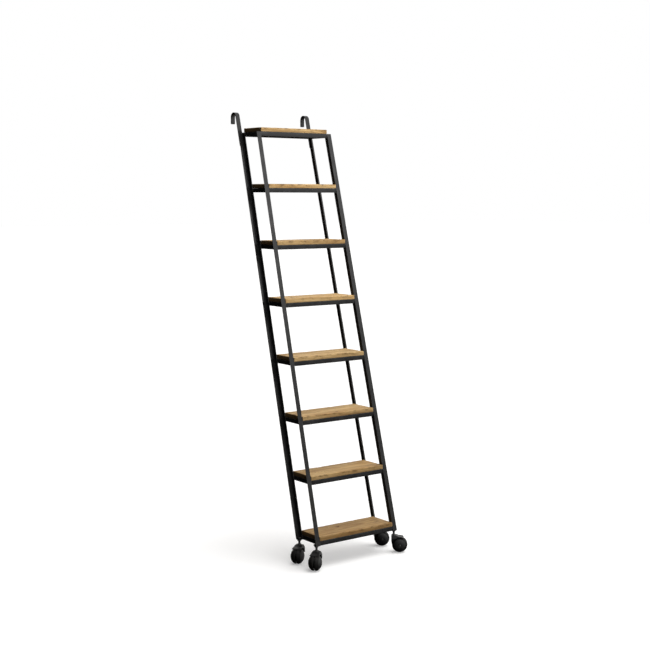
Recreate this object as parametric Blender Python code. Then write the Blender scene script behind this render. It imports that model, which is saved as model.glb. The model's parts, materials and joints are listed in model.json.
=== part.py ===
"""Rolling library ladder: wooden treads in angle-iron frames between four leaning stringers,
two flat hooks that hang over a bookcase's rail, and four twin-wheel casters.

Metres, +Z up. The floor is Z = 0, +Y points towards the bookcase and +X to the climber's right.
The origin is on the floor under the middle of the ladder.
"""

from math import atan2, cos, pi, radians, sin, tan

import bmesh
import bpy
from mathutils import Matrix, Vector

GAP = 0.0003  # between pieces that touch

# Stance
LEAN = radians(15.0)  # the stringers' tilt towards the rail
FRONT_PLANE_AT_FLOOR = -0.402  # y where the front stringers' outer face would meet the floor
STRINGER_SPACING = 0.174  # level distance from the front outer face to the rear one
INNER_WIDTH_LOW = 0.470  # between left and right stringers at their feet
INNER_WIDTH_HIGH = 0.426  # the same at their tops

# Angle iron of the stringers
FLANGE = 0.025
STEEL = 0.003
ROOT_RADIUS = 0.0028
TOE_RADIUS = 0.0016
HEEL_RADIUS = 0.0006

# Treads
TREAD_COUNT = 8
TREAD_RISE = 0.290
TREAD_DEPTH = 0.160
BOARD_THICKNESS = 0.022
BOARD_EDGE = 0.0018
FRAME_HEIGHT = 0.022
FRAME_FLANGE = 0.022
FRAME_STEEL = 0.003
FRAME_EDGE = 0.0006

# Hooks
RAIL_HEIGHT = 2.249  # the rail's centre line above the floor
HOOK_INNER_RADIUS = 0.0205  # goes over a 40 mm rail
HOOK_STEEL = 0.004
HOOK_LAP = 0.070  # overlap behind the stringer's flange
HOOK_DROP = 0.036  # the free leg's end below the rail's centre line
HOOK_ARC_STEPS = 16

# Casters
FOOT_HEIGHT = 0.115  # underside of the stringers and of the lowest frame
STEM_OFFSET = 0.0145  # the stem's axis from the angle's heel, both ways
STEM_RADIUS = 0.006
STEM_TOP = 0.126
STEM_FLANGE_RADIUS = 0.0095
STEM_FLANGE_THICKNESS = 0.0035
FOOT_PLATE_THICKNESS = 0.008
LOCK_NUT_FLATS = 0.018
LOCK_NUT_THICKNESS = 0.006
KINGPIN_RADIUS = 0.0045
KINGPIN_FIT = 0.0001  # a running fit, all round
KINGPIN_END = 0.0731
TRAIL = 0.031  # wheels' axle behind the stem's axis
WHEEL_RADIUS = 0.040
HOOD_TOP = 0.0905
HOOD_FRONT = -0.0118  # from the stem's axis
HOOD_FRONT_END = 0.050  # height of its front lip
HOOD_HALF_WIDTH = 0.0265
HOOD_TOP_HALF_WIDTH = 0.0185
HOOD_SHOULDER = 0.074  # height at which its sides start to slope in
FENDER_RADIUS = 0.0434
WELL_RADIUS = 0.0412
WEB_HALF = 0.0028  # the plate between the two wheels
WEB_RADIUS = 0.0355  # from the axle
AXLE_RADIUS = 0.004
AXLE_HEAD_RADIUS = 0.006
AXLE_HEAD_FROM = 0.0330  # from the caster's middle plane
AXLE_HEAD_TO = 0.0347
BORE_RADIUS = 0.0041  # a running fit on the axle
TYRE_INNER_RADIUS = 0.0315
HOLE_CLEARANCE = 0.0003

# Each caster's wheels trail this way from its stem, in degrees about +Z from +X.
CASTER_TURN = {
    "left_front": 221.0,
    "left_rear": 217.0,
    "right_front": 322.0,
    "right_rear": 327.0,
}

TOP_FRAME_TOP = FOOT_HEIGHT + (TREAD_COUNT - 1) * TREAD_RISE + FRAME_HEIGHT
SIDES = {"left": -1, "right": 1}


# ---------------------------------------------------------------- materials


def make_material(name, color, roughness, metallic):
    material = bpy.data.materials.new(name)
    material.use_nodes = True
    shader = material.node_tree.nodes["Principled BSDF"]
    shader.inputs["Base Color"].default_value = (*color, 1.0)
    shader.inputs["Roughness"].default_value = roughness
    shader.inputs["Metallic"].default_value = metallic
    return material


def make_materials():
    return {
        "steel": make_material("blackened_steel", (0.022, 0.022, 0.024), 0.45, 0.6),
        "wood": make_material("tread_wood", (0.48, 0.31, 0.16), 0.55, 0.0),
        "hood": make_material("hood_black", (0.018, 0.018, 0.019), 0.40, 0.0),
        "bolt": make_material("bolt_steel", (0.10, 0.10, 0.105), 0.35, 0.9),
        "hub": make_material("hub_grey", (0.045, 0.046, 0.048), 0.55, 0.0),
        "tyre": make_material("tyre_rubber", (0.014, 0.014, 0.014), 0.75, 0.0),
    }


# ---------------------------------------------------------------- geometry helpers


def plane_y(row, z):
    """y of the outer face of the front or rear stringers at height z."""
    start = FRONT_PLANE_AT_FLOOR + (STRINGER_SPACING if row == "rear" else 0.0)
    return start + z * tan(LEAN)


def half_width(z):
    """x of the right stringers' inner face at height z."""
    share = (z - FOOT_HEIGHT) / (TOP_FRAME_TOP - FOOT_HEIGHT)
    return (INNER_WIDTH_LOW + share * (INNER_WIDTH_HIGH - INNER_WIDTH_LOW)) / 2


def rounded_outline(corners, steps=3):
    """Points of a closed outline whose corners are (x, y, radius)."""
    points = []
    count = len(corners)
    for i, (x, y, radius) in enumerate(corners):
        here = Vector((x, y))
        back = (Vector(corners[i - 1][:2]) - here).normalized()
        ahead = (Vector(corners[(i + 1) % count][:2]) - here).normalized()
        if radius <= 0.0:
            points.append(here)
            continue
        half = back.angle(ahead) / 2
        centre = here + (back + ahead).normalized() * (radius / sin(half))
        first = here + back * (radius / tan(half)) - centre
        last = here + ahead * (radius / tan(half)) - centre
        start = atan2(first.y, first.x)
        sweep = (atan2(last.y, last.x) - start + pi) % (2 * pi) - pi
        for k in range(steps + 1):
            angle = start + sweep * k / steps
            points.append(centre + radius * Vector((cos(angle), sin(angle))))
    return points


def loft(loops, closed=False):
    """A bmesh whose skin joins equal loops of 3-D points; it has end caps unless it is closed."""
    bm = bmesh.new()
    rings = [[bm.verts.new(p) for p in loop] for loop in loops]
    pairs = list(zip(rings, rings[1:]))
    if closed:
        pairs.append((rings[-1], rings[0]))
    for low, high in pairs:
        for i in range(len(low)):
            j = (i + 1) % len(low)
            bm.faces.new((low[i], low[j], high[j], high[i]))
    if not closed:
        bm.faces.new(reversed(rings[0]))
        bm.faces.new(rings[-1])
    bmesh.ops.recalc_face_normals(bm, faces=bm.faces)
    return bm


def extruded(outline, low, high, place):
    """A prism of a flat outline from low to high; place(u, v, w) gives each 3-D point."""
    return loft([[place(p.x, p.y, w) for p in outline] for w in (low, high)])


def turned(profile, segments):
    """A body turned about Z. The profile is (radius, z), and may start and end on the axis."""
    bm = bmesh.new()
    rings = []
    for radius, z in profile:
        if radius < 1e-9:
            rings.append([bm.verts.new((0.0, 0.0, z))])
            continue
        angles = [2 * pi * k / segments for k in range(segments)]
        rings.append([bm.verts.new((radius * cos(a), radius * sin(a), z)) for a in angles])
    pairs = list(zip(rings, rings[1:]))
    if len(rings[0]) > 1:
        pairs.append((rings[-1], rings[0]))
    for first, second in pairs:
        for k in range(segments):
            n = (k + 1) % segments
            corners = [first[k % len(first)], first[n % len(first)]]
            corners += [second[n % len(second)], second[k % len(second)]]
            unique = list(dict.fromkeys(corners))
            if len(unique) > 2:
                bm.faces.new(unique)
    bmesh.ops.recalc_face_normals(bm, faces=bm.faces)
    return bm


def hexagonal_nut(flats, hole_radius, low, high):
    """A nut about Z, with its outer edge chamfered top and bottom."""
    corner = flats / 2 / cos(pi / 6)
    segments = 12
    chamfer = 0.0006

    def ring(radius_limit, z):
        points = []
        for k in range(segments):
            angle = 2 * pi * k / segments
            within = (angle + pi / 6) % (pi / 3) - pi / 6
            reach = min(flats / 2 / cos(within), radius_limit)
            points.append((reach * cos(angle), reach * sin(angle), z))
        return points

    def hole(z):
        angles = [2 * pi * k / segments for k in range(segments)]
        return [(hole_radius * cos(a), hole_radius * sin(a), z) for a in angles]

    loops = [hole(low), ring(flats / 2, low), ring(corner, low + chamfer)]
    loops += [ring(corner, high - chamfer), ring(flats / 2, high), hole(high)]
    return loft(loops, closed=True)


def add_object(name, bm, material, location=(0, 0, 0), parent=None, smooth=True):
    mesh = bpy.data.meshes.new(name)
    bm.to_mesh(mesh)
    bm.free()
    return place_mesh(name, mesh, material, location, parent, smooth)


def place_mesh(name, mesh, material, location=(0, 0, 0), parent=None, smooth=True):
    if not mesh.materials:
        mesh.materials.append(material)
    if smooth:
        mesh.shade_smooth()
        mesh.set_sharp_from_angle(angle=radians(32))
    obj = bpy.data.objects.new(name, mesh)
    obj.location = location
    obj.parent = parent
    bpy.context.scene.collection.objects.link(obj)
    return obj


def add_empty(name, location, turn=0.0, parent=None):
    empty = bpy.data.objects.new(name, None)
    empty.empty_display_size = 0.02
    empty.location = location
    empty.rotation_euler = (0.0, 0.0, turn)
    empty.parent = parent
    bpy.context.scene.collection.objects.link(empty)
    return empty


def combined(base, *operations):
    """A new mesh of the bmesh base after Boolean operations, each (kind, bmesh)."""
    made = []

    def temporary(bm):
        mesh = bpy.data.meshes.new("temporary")
        bm.to_mesh(mesh)
        bm.free()
        obj = bpy.data.objects.new("temporary", mesh)
        bpy.context.scene.collection.objects.link(obj)
        made.append(obj)
        return obj

    body = temporary(base)
    for kind, bm in operations:
        modifier = body.modifiers.new(kind, "BOOLEAN")
        modifier.operation = kind
        modifier.solver = "EXACT"
        modifier.object = temporary(bm)
    bpy.context.view_layer.update()
    graph = bpy.context.evaluated_depsgraph_get()
    mesh = bpy.data.meshes.new_from_object(body.evaluated_get(graph))
    for obj in made:
        bpy.data.meshes.remove(obj.data)
    return mesh


# ---------------------------------------------------------------- frame


def angle_section():
    """The stringer's section: x along the outward flange, y along the side flange, heel at 0."""
    return rounded_outline(
        [
            (0.0, 0.0, HEEL_RADIUS),
            (FLANGE, 0.0, HEEL_RADIUS),
            (FLANGE, STEEL, TOE_RADIUS),
            (STEEL, STEEL, ROOT_RADIUS),
            (STEEL, FLANGE, TOE_RADIUS),
            (0.0, FLANGE, HEEL_RADIUS),
        ]
    )


def add_stringer(side, row, material):
    """An angle iron, cut level at both ends. Its side flange lies against the treads' ends."""
    outward = SIDES[side]
    inward = 1 if row == "front" else -1
    section = angle_section()

    def level_loop(z):
        loop = []
        for p in section:
            x = outward * (half_width(z) + p.x)
            loop.append((x, plane_y(row, z) + inward * p.y / cos(LEAN), z))
        return loop

    bm = loft([level_loop(FOOT_HEIGHT), level_loop(TOP_FRAME_TOP)])
    add_object(f"stringer_{side}_{row}", bm, material)


def tread_base(index):
    """The underside of a tread's frame, counting from the lowest tread."""
    return FOOT_HEIGHT + index * TREAD_RISE


def tread_half_length(index):
    top = tread_base(index) + FRAME_HEIGHT + BOARD_THICKNESS
    return half_width(min(top, TOP_FRAME_TOP)) - GAP


def tread_front(index):
    """The tread's front edge, level with the stringers' front face at the frame's top."""
    return plane_y("front", tread_base(index) + FRAME_HEIGHT)


def add_tread_frame(index, material):
    """A mitred ring of angle iron: one flange hangs down outside, one lies flat under the board."""
    half = tread_half_length(index)
    front = tread_front(index)
    base = tread_base(index)
    section = rounded_outline(
        [
            (0.0, 0.0, FRAME_EDGE),
            (0.0, FRAME_HEIGHT, FRAME_EDGE),
            (FRAME_FLANGE, FRAME_HEIGHT, FRAME_EDGE),
            (FRAME_FLANGE, FRAME_HEIGHT - FRAME_STEEL, FRAME_EDGE),
            (FRAME_STEEL, FRAME_HEIGHT - FRAME_STEEL, ROOT_RADIUS),
            (FRAME_STEEL, 0.0, FRAME_EDGE),
        ],
        steps=2,
    )

    def corner_loop(x_sign, y_sign):
        loop = []
        for p in section:
            x = x_sign * (half - p.x)
            y = front + TREAD_DEPTH / 2 + y_sign * (TREAD_DEPTH / 2 - p.x)
            loop.append((x, y, base + p.y))
        return loop

    corners = [(-1, -1), (1, -1), (1, 1), (-1, 1)]
    bm = loft([corner_loop(*c) for c in corners], closed=True)
    add_object(f"tread_{index + 1}_frame", bm, material)


def add_board(index, material):
    """A board that rests on the frame, flush with its outer faces, with eased edges."""
    half = tread_half_length(index)
    low = tread_base(index) + FRAME_HEIGHT + GAP
    high = tread_base(index) + FRAME_HEIGHT + BOARD_THICKNESS
    bm = bmesh.new()
    bmesh.ops.create_cube(bm, size=1.0)
    size = (2 * half, TREAD_DEPTH, high - low)
    bmesh.ops.scale(bm, vec=size, verts=bm.verts)
    bmesh.ops.bevel(
        bm, geom=bm.edges[:], offset=BOARD_EDGE, segments=2, profile=0.5, affect="EDGES"
    )
    centre = (0.0, tread_front(index) + TREAD_DEPTH / 2, (low + high) / 2)
    add_object(f"tread_{index + 1}_board", bm, material, location=centre)


def rail_y():
    """y of the centre of the rail that the hooks hang on."""
    reach = GAP + HOOK_STEEL + HOOK_INNER_RADIUS
    return plane_y("rear", RAIL_HEIGHT) + reach / cos(LEAN)


def hook_outline():
    """The hook's edge view in (y, z): a leaning shank, an arch over the rail, a short free leg."""
    outer = HOOK_INNER_RADIUS + HOOK_STEEL
    bottom = TOP_FRAME_TOP - HOOK_LAP
    front_foot = plane_y("rear", bottom) + GAP / cos(LEAN)
    rear_foot = front_foot + HOOK_STEEL / cos(LEAN)
    start = pi - LEAN

    def arc(radius, first, last):
        points = []
        for k in range(HOOK_ARC_STEPS + 1):
            angle = first + (last - first) * k / HOOK_ARC_STEPS
            points.append((rail_y() + radius * cos(angle), RAIL_HEIGHT + radius * sin(angle)))
        return points

    tip = RAIL_HEIGHT - HOOK_DROP
    chamfer = 0.0012
    points = [(front_foot, bottom)]
    points += arc(outer, start, 0.0)
    points += [(rail_y() + outer, tip + chamfer), (rail_y() + outer - chamfer, tip)]
    points += [(rail_y() + HOOK_INNER_RADIUS + chamfer, tip)]
    points += [(rail_y() + HOOK_INNER_RADIUS, tip + chamfer)]
    points += arc(HOOK_INNER_RADIUS, 0.0, start)
    points += [(rear_foot, bottom)]
    return [Vector(p) for p in points]


def add_hook(side, material):
    outward = SIDES[side]
    inner = half_width(TOP_FRAME_TOP - HOOK_LAP / 2)
    bm = extruded(
        hook_outline(), inner, inner + FLANGE, lambda u, v, w: (outward * w, u, v)
    )
    add_object(f"rail_hook_{side}", bm, material)


# ---------------------------------------------------------------- casters


def stem_position(side, row):
    inward = 1 if row == "front" else -1
    x = SIDES[side] * (half_width(FOOT_HEIGHT) + STEM_OFFSET)
    return Vector((x, plane_y(row, FOOT_HEIGHT) + inward * STEM_OFFSET, 0.0))


def add_foot_plate(side, row, material):
    """A thick plate in the angle's nook, tapped for the stem."""
    outward = SIDES[side]
    inward = 1 if row == "front" else -1
    stem = stem_position(side, row)
    top = FOOT_HEIGHT + FOOT_PLATE_THICKNESS
    flange_face = [inward * plane_y(row, z) + STEEL / cos(LEAN) for z in (FOOT_HEIGHT, top)]
    near = inward * (max(flange_face) + GAP) - stem.y
    far = plane_y(row, FOOT_HEIGHT) + inward * FLANGE - stem.y
    inside = half_width(FOOT_HEIGHT) + STEEL + GAP - abs(stem.x)
    outside = half_width(FOOT_HEIGHT) + FLANGE - abs(stem.x)
    easing = 0.0008
    corners = [
        (outward * inside, near, ROOT_RADIUS + 0.0006),
        (outward * outside, near, easing),
        (outward * outside, far, easing),
        (outward * inside, far, easing),
    ]
    plate = extruded(
        rounded_outline(corners, steps=2), FOOT_HEIGHT, top, lambda u, v, w: (u, v, w)
    )
    hole = STEM_RADIUS + HOLE_CLEARANCE
    low = FOOT_HEIGHT - 0.01
    high = top + 0.01
    bore = turned([(0, low), (hole, low), (hole, high), (0, high)], 16)
    mesh = combined(plate, ("DIFFERENCE", bore))
    place_mesh(f"caster_{side}_{row}_foot_plate", mesh, material, location=stem)


def stem_profile():
    """Top down: threaded stud, flange that rests on the hood, and the kingpin inside it."""
    flange = HOOD_TOP + GAP
    edge = 0.0007
    return [
        (0.0, STEM_TOP),
        (STEM_RADIUS - edge, STEM_TOP),
        (STEM_RADIUS, STEM_TOP - edge),
        (STEM_RADIUS, flange + STEM_FLANGE_THICKNESS),
        (STEM_FLANGE_RADIUS - edge, flange + STEM_FLANGE_THICKNESS),
        (STEM_FLANGE_RADIUS, flange + STEM_FLANGE_THICKNESS - edge),
        (STEM_FLANGE_RADIUS, flange),
        (KINGPIN_RADIUS, flange),
        (KINGPIN_RADIUS, KINGPIN_END + edge),
        (KINGPIN_RADIUS - edge, KINGPIN_END),
        (0.0, KINGPIN_END),
    ]


def from_axle(radius, degrees):
    """A point of the hood's side view, at this distance and angle from the axle."""
    angle = radians(degrees)
    return (TRAIL + radius * cos(angle), WHEEL_RADIUS + radius * sin(angle))


def hood_side():
    """The hood's outline from the side: front lip, crown, fender, then the web down to the axle."""
    corners = [
        (0.0105, HOOD_TOP, 0.004),
        (HOOD_FRONT, HOOD_TOP, 0.007),
        (HOOD_FRONT, HOOD_FRONT_END, 0.0),
        (HOOD_FRONT + 0.0036, HOOD_FRONT_END, 0.0),
    ]
    corners += [(*from_axle(WEB_RADIUS, d), 0.0) for d in range(196, 417, 10)]
    corners += [(*from_axle(WELL_RADIUS - 0.0008, 62), 0.0)]
    corners += [(*from_axle(FENDER_RADIUS, d), 0.0) for d in range(62, 98, 5)]
    return rounded_outline(corners)


def across_axle(radius, low, high, segments):
    """A cylinder about the axle, between two distances from the caster's middle plane."""
    bm = turned([(0, low), (radius, low), (radius, high), (0, high)], segments)
    turn = Matrix.Translation((TRAIL, 0.0, WHEEL_RADIUS)) @ Matrix.Rotation(-pi / 2, 4, "X")
    bmesh.ops.transform(bm, matrix=turn, verts=bm.verts)
    return bm


def hood_mesh():
    """A cast hood: a shell over both wheels, a web between them, bores for kingpin and axle."""
    body = extruded(hood_side(), -0.03, 0.03, lambda u, v, w: (u, w, v))
    front_view = rounded_outline(
        [
            (-HOOD_HALF_WIDTH, 0.02, 0.0),
            (HOOD_HALF_WIDTH, 0.02, 0.0),
            (HOOD_HALF_WIDTH, HOOD_SHOULDER, 0.006),
            (HOOD_TOP_HALF_WIDTH, HOOD_TOP, 0.004),
            (-HOOD_TOP_HALF_WIDTH, HOOD_TOP, 0.004),
            (-HOOD_HALF_WIDTH, HOOD_SHOULDER, 0.006),
        ]
    )
    trim = extruded(front_view, -0.03, 0.09, lambda u, v, w: (w, u, v))
    hole = KINGPIN_RADIUS + KINGPIN_FIT
    low = KINGPIN_END - 0.0005
    kingpin = turned([(0, low), (hole, low), (hole, 0.1), (0, 0.1)], 24)
    return combined(
        body,
        ("INTERSECT", trim),
        ("DIFFERENCE", across_axle(WELL_RADIUS, WEB_HALF, 0.04, 48)),
        ("DIFFERENCE", across_axle(WELL_RADIUS, -0.04, -WEB_HALF, 48)),
        ("DIFFERENCE", across_axle(AXLE_RADIUS + HOLE_CLEARANCE, -0.01, 0.01, 16)),
        ("DIFFERENCE", kingpin),
    )


def hub_profile():
    """A wheel's centre: domed outside with a sunk middle, hollow inside round its boss.

    z is the distance from the caster's middle plane, as in the next two profiles.
    """
    inner = WEB_HALF + 0.0007
    outside = [
        (0.0312, 0.0232),
        (0.0260, 0.0274),
        (0.0200, 0.0305),
        (0.0145, 0.0325),
        (0.0092, 0.0337),
        (0.0078, 0.0327),
        (BORE_RADIUS, 0.0327),
    ]
    inside = [
        (BORE_RADIUS, inner),
        (0.0085, inner),
        (0.0095, 0.0205),
        (0.0265, 0.0205),
        (0.0280, inner + 0.0010),
        (0.0312, inner + 0.0010),
    ]
    return outside + inside


def tyre_profile():
    inner = WEB_HALF + 0.0010
    return [
        (TYRE_INNER_RADIUS, inner),
        (WHEEL_RADIUS - 0.0010, inner),
        (WHEEL_RADIUS, inner + 0.0014),
        (WHEEL_RADIUS, 0.0075),
        (0.0397, 0.0095),
        (0.0388, 0.0125),
        (0.0372, 0.0160),
        (0.0348, 0.0196),
        (TYRE_INNER_RADIUS, 0.0232),
    ]


def axle_profile():
    """A plain pin, riveted over at both ends in the hubs' sunk middles."""
    half = [
        (AXLE_RADIUS, AXLE_HEAD_FROM),
        (AXLE_HEAD_RADIUS, AXLE_HEAD_FROM),
        (AXLE_HEAD_RADIUS, AXLE_HEAD_FROM + 0.0005),
        (AXLE_HEAD_RADIUS - 0.0022, AXLE_HEAD_TO - 0.0002),
        (0.0, AXLE_HEAD_TO),
    ]
    return [(r, -z) for r, z in reversed(half)] + half


def caster_meshes(materials):
    """Meshes shared by the four casters, in the frame of the stem's axis or of the axle."""
    nut_top = FOOT_HEIGHT - GAP
    hole = STEM_RADIUS + HOLE_CLEARANCE
    shapes = {
        "stem": (turned(stem_profile(), 16), "bolt"),
        "lock_nut": (
            hexagonal_nut(LOCK_NUT_FLATS, hole, nut_top - LOCK_NUT_THICKNESS, nut_top),
            "bolt",
        ),
        "hub": (turned(hub_profile(), 28), "hub"),
        "tyre": (turned(tyre_profile(), 32), "tyre"),
        "axle": (turned(axle_profile(), 16), "bolt"),
    }
    meshes = {}
    for name, (bm, material) in shapes.items():
        mesh = bpy.data.meshes.new(name)
        bm.to_mesh(mesh)
        bm.free()
        mesh.materials.append(materials[material])
        meshes[name] = mesh
    meshes["hood"] = hood_mesh()
    meshes["hood"].materials.append(materials["hood"])
    return meshes


def add_caster(side, row, meshes, materials):
    name = f"caster_{side}_{row}"
    stem = stem_position(side, row)
    add_foot_plate(side, row, materials["steel"])
    for piece in ("stem", "lock_nut"):
        place_mesh(f"{name}_{piece}", meshes[piece], None, location=stem)
    turn = radians(CASTER_TURN[f"{side}_{row}"])
    swivel = add_empty(f"{name}_swivel_axis", stem, turn)
    place_mesh(f"{name}_hood", meshes["hood"], None, parent=swivel)
    for number, outwards in ((1, -pi / 2), (2, pi / 2)):
        centre = (TRAIL, 0.0, WHEEL_RADIUS)
        wheel = add_empty(f"{name}_wheel_axis_{number}", centre, parent=swivel)
        wheel.rotation_euler = (outwards, 0.0, 0.0)
        for piece in ("hub", "tyre"):
            place_mesh(f"{name}_{piece}_{number}", meshes[piece], None, parent=wheel)
    place_mesh(f"{name}_axle", meshes["axle"], None, parent=wheel)


# ---------------------------------------------------------------- assembly


def clear_scene():
    for obj in list(bpy.data.objects):
        bpy.data.objects.remove(obj, do_unlink=True)


def main():
    clear_scene()
    materials = make_materials()
    for side in SIDES:
        for row in ("front", "rear"):
            add_stringer(side, row, materials["steel"])
        add_hook(side, materials["steel"])
    for index in range(TREAD_COUNT):
        add_tread_frame(index, materials["steel"])
        add_board(index, materials["wood"])
    meshes = caster_meshes(materials)
    for side in SIDES:
        for row in ("front", "rear"):
            add_caster(side, row, meshes, materials)


main()
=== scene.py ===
"""Looks of the library ladder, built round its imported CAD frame.

Everything is in metres in the frame of the CAD model: +Z up, +Y towards the bookcase, floor at Z = 0.
Places come from the CAD nodes' boxes and the joints. The named sizes below repeat those of the CAD
sections, such as the steel's thickness, which a box can't give.
"""

import json
import random
from math import atan2, cos, pi, radians, sin, sqrt, tan

import bmesh
import bpy
from mathutils import Euler, Matrix, Vector, noise


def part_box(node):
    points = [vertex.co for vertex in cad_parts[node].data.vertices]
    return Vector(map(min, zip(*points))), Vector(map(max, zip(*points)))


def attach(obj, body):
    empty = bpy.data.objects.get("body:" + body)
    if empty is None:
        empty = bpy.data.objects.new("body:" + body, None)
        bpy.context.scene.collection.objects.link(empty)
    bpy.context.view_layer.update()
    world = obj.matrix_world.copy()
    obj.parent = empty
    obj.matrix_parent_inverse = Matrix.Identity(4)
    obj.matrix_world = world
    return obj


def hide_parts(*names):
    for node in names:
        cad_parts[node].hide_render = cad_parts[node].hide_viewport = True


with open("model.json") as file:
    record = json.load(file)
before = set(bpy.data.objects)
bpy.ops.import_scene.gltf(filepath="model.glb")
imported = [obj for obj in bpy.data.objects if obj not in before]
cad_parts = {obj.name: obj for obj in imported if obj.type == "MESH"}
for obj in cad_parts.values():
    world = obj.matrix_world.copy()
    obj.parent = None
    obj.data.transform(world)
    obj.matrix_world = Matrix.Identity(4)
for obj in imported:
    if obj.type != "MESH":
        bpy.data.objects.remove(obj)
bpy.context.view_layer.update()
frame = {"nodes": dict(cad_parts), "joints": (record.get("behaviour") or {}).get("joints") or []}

SIDES = {"left": -1, "right": 1}
ROWS = {"front": 1, "rear": -1}  # the way each row's side flange runs along Y
TREADS = range(1, 9)
ROOT = "ladder"
GAP = 0.0003

# Angle iron and tread frames
FLANGE = 0.025
STEEL = 0.003
FRAME_FLANGE = 0.022

# Welds: the length of a bead's mesh segment, of a ripple, and each kind's radius
WELD_STEP = 0.0007
WELD_RIPPLE = 0.0018
FRAME_WELD_RADIUS = 0.0019
FOOT_WELD_RADIUS = 0.0018
HOOK_WELD_RADIUS = 0.0020

# Boards: unevenness is how far sanding left a point off its plane
BOARD_EDGE_RADIUS = 0.0032
BOARD_CHIP = 0.0032
BOARD_EDGE_BAND = (0.012, 0.012, 0.004)
EDGE_UNEVENNESS = 0.00035
FACE_UNEVENNESS = 0.00012
RING_WIDTH = 0.0052
KNOT_RING_WIDTH = 0.0021

# Hooks
HOOK_STEEL = 0.004
HOOK_INNER_RADIUS = 0.0205
HOOK_DROP = 0.036
HOOK_CORNER = 0.0045
HOOK_EDGE_RADIUS = 0.0009
HOOK_RIVETS = (0.016, 0.052)  # up from the hook's foot

# Casters
STEM_RADIUS = 0.006
STEM_FLANGE_RADIUS = 0.0095
KINGPIN_RADIUS = 0.0045
KINGPIN_END = 0.0731
TRAIL = 0.031
WHEEL_RADIUS = 0.040
HOOD_TOP = 0.0905
HOOD_FRONT = -0.0118
HOOD_FRONT_END = 0.050
HOOD_HALF_WIDTH = 0.0265
HOOD_TOP_HALF_WIDTH = 0.0185
HOOD_SHOULDER = 0.074
FENDER_RADIUS = 0.0434
WELL_RADIUS = 0.0412
WEB_HALF = 0.0028
WEB_RADIUS = 0.0355
AXLE_RADIUS = 0.004
AXLE_HEAD_RADIUS = 0.006
AXLE_HEAD_FROM = 0.0330
AXLE_HEAD_TO = 0.0347
BORE_RADIUS = 0.0041
TYRE_INNER_RADIUS = 0.0315

# Camera: a 36 mm sensor
LENS = 68.91
CAMERA_AT = (-3.8305, -5.1839, 1.8438)
CAMERA_YAW = radians(36.945)  # clockwise from +Y
CAMERA_PITCH = radians(-5.975)
CAMERA_ROLL = radians(-0.14)


# ---------------------------------------------------------------- stance, from the CAD boxes


def line_through(z0, v0, z1, v1):
    """The straight line v(z) through two points."""
    return lambda z: v0 + (z - z0) * (v1 - v0) / (z1 - z0)


first_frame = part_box("tread_1_frame")
last_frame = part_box("tread_8_frame")
first_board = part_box("tread_1_board")
rear_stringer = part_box("stringer_left_rear")
front_y = line_through(first_frame[1].z, first_frame[0].y, last_frame[1].z, last_frame[0].y)
half_width = line_through(
    first_board[1].z, first_frame[1].x + GAP, last_frame[1].z, last_frame[1].x + GAP
)
TOP = rear_stringer[1].z
FOOT = rear_stringer[0].z
SPACING = rear_stringer[1].y - front_y(TOP)
LEAN = atan2(front_y(1.0) - front_y(0.0), 1.0)


def plane_y(row, z):
    """y of the outer face of a row of stringers at height z."""
    return front_y(z) + (SPACING if row == "rear" else 0.0)


# ---------------------------------------------------------------- material nodes


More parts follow.
